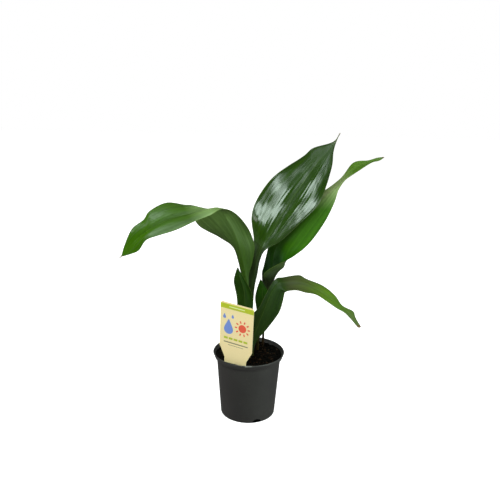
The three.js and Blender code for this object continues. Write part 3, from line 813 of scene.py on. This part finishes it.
def pot_piece():
    pot = turned("nursery_pot", pot_profile(), POT_SIDES)
    angles = [math.radians(-90 + NOTCH_TURN) + math.tau * i / NOTCH_COUNT for i in range(NOTCH_COUNT)]
    cutters = [notch_cutter(a) for a in angles]
    cutters += [drain_cutter(math.tau * i / DRAIN_COUNT) for i in range(DRAIN_COUNT)]
    for cutter in cutters:
        apply_modifier(pot, "BOOLEAN", operation="DIFFERENCE", object=cutter, solver="EXACT")
        bpy.data.objects.remove(cutter)
    smooth(pot, sharp_from=40)
    pot.data.materials.append(pot_material())
    finish_piece(pot, "pot_plastic", "pot")
    return pot


# Soil


def before_label(x, y):
    """How far a place on the soil lies in front of the label's plane, in millimetres."""
    turn = math.radians(LABEL_TURN)
    return -x * math.sin(turn) - y * math.cos(turn) - LABEL_OUT


def soil_height(x, y):
    """How far the soil stands above its level, in millimetres. It is pressed flat in front of the label."""
    swell = sum(
        height * noise.noise(Vector((x / width, y / width, layer))) for width, layer, height in SOIL_SWELLS
    )
    pressed = min(1, max(0, (before_label(x, y) - DIP_START) / DIP_SPAN))
    return swell * (1 - FRONT_FLATNESS * pressed) - FRONT_DIP * pressed


def soil_body():
    bottom = FLOOR_UNDERSIDE + WALL + SOIL_GAP
    lip_foot = POT_HEIGHT - LIP_DEPTH
    shoulder = LIP_FOOT_RADIUS - WALL - SOIL_GAP
    side = shoulder + 0.6
    profile = [
        (outer_radius(bottom) - WALL - 2.4, bottom),
        (NECK_RADIUS - WALL - SOIL_GAP, lip_foot - 1.2),
        (shoulder, lip_foot + 1.8),
        *[(side * (1 - i / SOIL_RINGS), SOIL_LEVEL) for i in range(SOIL_RINGS)],
    ]
    body = turned("potting_soil", profile, SOIL_SIDES)
    for vertex in body.data.vertices:
        x, y, z = vertex.co / MM
        if z > SOIL_LEVEL - 0.5:
            vertex.co.z = (SOIL_LEVEL + soil_height(x, y)) * MM
    return body


def scattered(draw, reach, clear):
    """A random place on the soil, within that radius and that far behind the label's plane."""
    while True:
        radius = reach * math.sqrt(draw.random())
        turn = draw.uniform(0, math.tau)
        x, y = radius * math.cos(turn), radius * math.sin(turn)
        if before_label(x, y) < -clear:
            return x, y


def crumb(shape, size, stretch, place, rough, draw, slot):
    """One crumb or bark chip, squeezed and turned at random, at its place on the soil."""
    x, y = place
    height = SOIL_LEVEL + soil_height(x, y) + BIT_RISE * size
    matrix = (
        Matrix.Translation((x * MM, y * MM, height * MM))
        @ Matrix.Rotation(draw.uniform(0, math.tau), 4, "Z")
        @ Matrix.Rotation(draw.uniform(-BIT_TILT, BIT_TILT), 4, "X")
        @ Matrix.Rotation(draw.uniform(-BIT_TILT, BIT_TILT), 4, "Y")
        @ Matrix.Diagonal([size * MM * s for s in stretch] + [1])
    )
    made = bmesh.ops.create_icosphere(shape, subdivisions=1, radius=1)["verts"]
    for vertex in made:
        vertex.co = matrix @ (vertex.co * (1 + draw.uniform(-rough, rough)))
    for polygon in {f for vertex in made for f in vertex.link_faces}:
        polygon.material_index = slot


def fibre(shape, place, length, draw, slot):
    """A peat fibre: a thin bent strand that lies on the crumbs."""
    x, y = place
    heading = draw.uniform(0, math.tau)
    curl = draw.uniform(-0.5, 0.5)
    thick = draw.uniform(*FIBRE_THICKNESSES)
    points = []
    for i in range(FIBRE_STEPS):
        lift = 0.8 + 0.9 * math.sin(i * 0.7 + curl * 5)
        points.append(Vector((x, y, SOIL_LEVEL + soil_height(x, y) + max(0.2, lift))))
        heading += curl * 0.6 + draw.uniform(-0.25, 0.25)
        x += length / FIBRE_STEPS * math.cos(heading)
        y += length / FIBRE_STEPS * math.sin(heading)
    rings = []
    for i, point in enumerate(points):
        ahead = points[min(i + 1, FIBRE_STEPS - 1)] - points[max(i - 1, 0)]
        aside = ahead.cross(Vector((0, 0, 1))).normalized()
        above = aside.cross(ahead).normalized()
        size = thick * (1 - 0.5 * i / FIBRE_STEPS)
        corners = [aside, above, -aside, -above]
        rings.append([shape.verts.new((point + corner * size) * MM) for corner in corners])
    faces = [shape.faces.new(rings[0][::-1]), shape.faces.new(rings[-1])]
    for first, second in zip(rings, rings[1:]):
        for k in range(4):
            after = (k + 1) % 4
            faces.append(shape.faces.new((first[k], first[after], second[after], second[k])))
    bmesh.ops.recalc_face_normals(shape, faces=faces)
    for face in faces:
        face.material_index = slot


def soil_piece():
    """Peat with crumbs, bark chips and fibres on it."""
    draw = random.Random(SOIL_SEED)
    soil = soil_body()
    for polygon in soil.data.polygons:
        polygon.use_smooth = True
    for earth in EARTHS:
        soil.data.materials.append(earth_material(*earth))
    inside = LIP_FOOT_RADIUS - WALL
    shape = bmesh.new()
    shape.from_mesh(soil.data)
    least, most = CRUMB_SIZES
    for _ in range(CRUMB_COUNT):
        size = least + (most - least) * draw.random() ** 3
        stretch = [draw.uniform(0.7, 1.3), draw.uniform(0.7, 1.3), draw.uniform(0.5, 0.9)]
        place = scattered(draw, inside - CRUMB_MARGIN, CRUMB_CLEARANCE)
        crumb(shape, size, stretch, place, CRUMB_ROUGHNESS, draw, int(draw.random() < BROWN_SHARE))
    for _ in range(BARK_COUNT):
        stretch = [draw.uniform(1, 1.8), 0.7, 0.3]
        size = draw.uniform(*BARK_SIZES)
        place = scattered(draw, inside - BARK_MARGIN, BARK_CLEARANCE)
        crumb(shape, size, stretch, place, BARK_ROUGHNESS, draw, BARK_SLOT)
    for _ in range(FIBRE_COUNT):
        place = scattered(draw, inside - FIBRE_MARGIN, FIBRE_CLEARANCE)
        fibre(shape, place, draw.uniform(*FIBRE_LENGTHS), draw, FIBRE_SLOT)
    shape.to_mesh(soil.data)
    shape.free()
    finish_piece(soil, "potting_soil", "soil")
    return soil


# Label

LABEL_PLACE = (
    Matrix.Rotation(math.radians(-LABEL_TURN), 4, "Z")
    @ Matrix.Translation((LABEL_ASIDE * MM, -LABEL_OUT * MM, POT_HEIGHT * MM))
    @ Matrix.Rotation(math.radians(LABEL_LEAN), 4, "X")
    @ Matrix.Rotation(math.radians(LABEL_ROLL), 4, "Y")
    @ Matrix.Rotation(math.pi / 2, 4, "X")
    @ Matrix.Scale(MM, 4)
)


def label_outline():
    half, stem, tip = LABEL_WIDTH / 2, LABEL_STEM_WIDTH / 2, LABEL_POINT_WIDTH / 2
    corner = (half - LABEL_CORNER, LABEL_TOP - LABEL_CORNER)
    right = [
        (tip, -LABEL_BURIED),
        (stem, LABEL_POINT_LENGTH - LABEL_BURIED),
        (stem, LABEL_STEM_TOP),
        (half, LABEL_KNEE),
        *arc(corner, LABEL_CORNER, 0, 90, 10),
    ]
    return right + [(-x, y) for x, y in reversed(right)]


def plate(name, outline, low, high, material):
    """A flat plate of that outline over the label's plane, from one height to another, in millimetres."""
    deselect()
    bpy.ops.mesh.primitive_circle_add(vertices=len(outline), radius=1, fill_type="NGON")
    piece = started(name)
    for vertex, (x, y) in zip(piece.data.vertices, outline):
        vertex.co = (x, y, low)
    bpy.ops.object.mode_set(mode="EDIT")
    bpy.ops.mesh.select_all(action="SELECT")
    bpy.ops.mesh.extrude_region_move(TRANSFORM_OT_translate={"value": (0, 0, high - low)})
    bpy.ops.mesh.select_all(action="SELECT")
    bpy.ops.mesh.normals_make_consistent(inside=False)
    bpy.ops.object.mode_set(mode="OBJECT")
    piece.data.materials.append(material)
    return piece


def printed(name, outlines, material, over=0.0):
    """Printed shapes of one colour, a thin film on the label's face, or over another film."""
    face = LABEL_THICKNESS / 2 + over
    low, high = face - PRINT_ROOT, face + PRINT_THICKNESS
    films = [plate("film", outline, low, high, material) for outline in outlines]
    film = join(name, films)
    film.data.transform(LABEL_PLACE)
    settle(film)
    finish_piece(film, "label_card")
    return film


def disc(x, y, radius, steps=40):
    return arc((x, y), radius, 0, 360 - 360 / steps, steps - 1)


def drop(x, y, radius, height, pinch=0.55, steps=48):
    """A water drop: a round belly drawn up to a point."""
    points = []
    for i in range(steps):
        turn = math.tau * i / steps
        pull = max(0.0, math.sin(turn)) ** 3
        aside = radius * math.cos(turn) * (1 - pinch * pull)
        points.append((x + aside, y + radius * math.sin(turn) + height * pull))
    return points


def bar(start, end, thick):
    """A straight bar from one point to another, its corners in turn."""
    side = (end - start).normalized().orthogonal() * thick / 2
    return [tuple(corner) for corner in (start + side, start - side, end - side, end + side)]


def level_bar(left, right, height, thick):
    return bar(Vector((left, height)), Vector((right, height)), thick)


def label_piece():
    card = card_material()
    label = plate("label_card", label_outline(), -LABEL_THICKNESS / 2, LABEL_THICKNESS / 2, card)
    apply_modifier(label, "BEVEL", width=0.15, segments=2, limit_method="ANGLE", angle_limit=math.radians(50))
    mesh = label.data
    layer = mesh.uv_layers.active or mesh.uv_layers.new()
    layer.name = "card"
    for loop in mesh.loops:
        x, y, _ = mesh.vertices[loop.vertex_index].co
        layer.data[loop.index].uv = (x, y)
    label.data.transform(LABEL_PLACE)
    settle(label)
    finish_piece(label, "label_card", "care_label")

    lime, blue, red, grey, white = (ink_material(*ink) for ink in INKS)
    half = LABEL_WIDTH / 2 - BAND_INSET
    low, high = BAND
    printed("label_band", [[(-half, low), (half, low), (half, high), (-half, high)]], lime)
    printed("label_line", [level_bar(*BAND_RULE)], white, PRINT_THICKNESS)
    sun = [disc(*SUN_PLACE, SUN_RADIUS)]
    for i in range(RAY_COUNT):
        turn = math.tau * i / RAY_COUNT
        outwards = Vector((math.cos(turn), math.sin(turn)))
        start, end = (Vector(SUN_PLACE) + outwards * reach for reach in RAY_REACH)
        sun.append(bar(start, end, RAY_WIDTH))
    printed("label_sun", sun, red)
    printed("label_drop", [drop(*one) for one in DROPS], blue)
    printed("label_gauge", [level_bar(*one) for one in GAUGE_BARS], lime)
    printed("label_rules", [level_bar(*one) for one in RULES], grey)


# Camera, floor and light

TABLE_SIZE = 12
TABLE_GLOW = 1.0
TABLE_BOUNCE = 0.22
ROOM_FRONT = 0.015
ROOM_BACK = 0.17
TALL_LEAF = (0.05, 0.04, 0.35)
LEFT_LEAF = (-0.177, -0.09, 0.324)
PLANT = (0, 0, 0.2)

# Each lamp's place, aim, size, watts, roll and colour. The boxes show in the gloss and the fills don't
BOXES = {
    "key_box": ((-0.198, -0.848, 1.209), TALL_LEAF, (1.2, 0.32), 15, -37, "ecfff6"),
    "right_box": ((0.801, -0.59, 0.33), TALL_LEAF, (0.24, 0.72), 6.8, 38, "ecfff6"),
    "left_box": ((-0.924, -0.837, 1.064), LEFT_LEAF, (0.4, 0.4), 2.2, 0, "ffffff"),
}
FILLS = {
    "front_fill": ((-0.5, -2.2, 1.5), PLANT, (1.6, 1.0), 12.4, 0, "ffffff"),
    "top_fill": ((0.1, 0.2, 2.2), PLANT, (1.4, 1.4), 8, 0, "ffffff"),
    "left_fill": ((-1.4, -0.15, 0.4), PLANT, (1.0, 0.8), 13, 0, "ffffff"),
    "right_fill": ((1.4, -0.15, 0.4), PLANT, (1.0, 0.8), 7.2, 0, "ffffff"),
    "back_fill": ((0.2, 2.0, 1.0), PLANT, (1.6, 1.0), 12, 0, "ffffff"),
}
CAMERA_PLACE = (0, -937.3, 543.7)
CAMERA_PITCH = 15.284
CAMERA_HEADING = 0.077
CAMERA_ROLL = 1.15
FOCAL_LENGTH = 43.2
SENSOR_WIDTH = 36


def camera():
    lens = bpy.data.cameras.new("camera")
    lens.lens = FOCAL_LENGTH
    lens.sensor_width = SENSOR_WIDTH
    lens.clip_start = 0.01
    lens.clip_end = 50
    eye = bpy.data.objects.new("camera", lens)
    bpy.context.scene.collection.objects.link(eye)
    turn = Matrix.Rotation(math.radians(CAMERA_HEADING), 4, "Z")
    tilt = Matrix.Rotation(math.radians(90 - CAMERA_PITCH), 4, "X")
    roll = Matrix.Rotation(math.radians(CAMERA_ROLL), 4, "Z")
    eye.matrix_world = Matrix.Translation(Vector(CAMERA_PLACE) * MM) @ turn @ tilt @ roll
    bpy.context.scene.camera = eye


def floor_piece():
    """A lit white table: matte acrylic with light coming up through it, and a painted shadow where the pot
    covers it.
    """
    deselect()
    bpy.ops.mesh.primitive_grid_add(x_subdivisions=4, y_subdivisions=4, size=TABLE_SIZE)
    floor = started("studio_floor")
    material, tree = surface("lit_white_acrylic")
    place = add(tree, "TexCoord", out="Object")
    away = add(tree, "VectorMath", (place,), "Value", operation="LENGTH")
    # Painted shadow: under the pot's foot the table is near black and does not glow
    outside_painted_shadow = add(tree, "MapRange", (away, (FOOT_RADIUS - 1) * MM, (FOOT_RADIUS + 0.3) * MM))
    glow = add(tree, "Math", (outside_painted_shadow, TABLE_GLOW), operation="MULTIPLY")
    colours = {0: outside_painted_shadow, 6: linear("080808"), 7: linear("c4c4c4")}
    acrylic = add(tree, "BsdfPrincipled", {
        "Base Color": add(tree, "Mix", colours, 2, data_type="RGBA"), "Roughness": 0.9,
        "Specular IOR Level": 0.1, "Emission Color": (1, 1, 1, 1), "Emission Strength": glow})
    add(tree, "OutputMaterial", {"Surface": acrylic})
    floor.data.materials.append(material)
    floor.visible_glossy = False
    floor.visible_diffuse = False


def softbox(name, place, aim, size, power, roll, colour):
    """A rectangular lamp."""
    lamp = bpy.data.lights.new(name, "AREA")
    lamp.shape = "RECTANGLE"
    lamp.size, lamp.size_y = size
    lamp.energy = power
    lamp.color = linear(colour)[:3]
    box = bpy.data.objects.new(name, lamp)
    bpy.context.scene.collection.objects.link(box)
    facing = (Vector(aim) - Vector(place)).to_track_quat("-Z", "Y").to_matrix().to_4x4()
    box.matrix_world = Matrix.Translation(place) @ facing @ Matrix.Rotation(math.radians(roll), 4, "Z")
    box.visible_camera = False
    box.visible_glossy = name in BOXES


def studio():
    """A dark room behind a white sweep, with the table's light from below and soft boxes round the front."""
    world = bpy.data.worlds.new("studio")
    bpy.context.scene.world = world
    world.use_nodes = True
    tree = world.node_tree
    tree.nodes.clear()
    way = add(tree, "TexCoord", out="Generated")
    room = add(tree, "MapRange", (add(tree, "SeparateXYZ", (way,), "Y"), -0.1, 0.7, ROOM_FRONT, ROOM_BACK))
    below = add(tree, "MapRange", (add(tree, "SeparateXYZ", (way,), "Z"), -0.3, 0, TABLE_BOUNCE, 0))
    strength = add(tree, "LightPath", out="Is Camera Ray")
    for light in (room, below):
        strength = add(tree, "Math", (strength, light), operation="MAXIMUM")
    ground = add(tree, "Background", {"Color": (1, 1, 1, 1), "Strength": strength})
    add(tree, "OutputWorld", {"Surface": ground})
    for name, lamp in (BOXES | FILLS).items():
        softbox(name, *lamp)


def main():
    for seed, (name, leaf) in enumerate(LEAVES.items(), start=1):
        leaf_piece(name, leaf, seed)
    pot_piece()
    soil_piece()
    label_piece()
    floor_piece()
    camera()
    studio()
    bpy.context.scene.view_settings.view_transform = "Standard"


main()
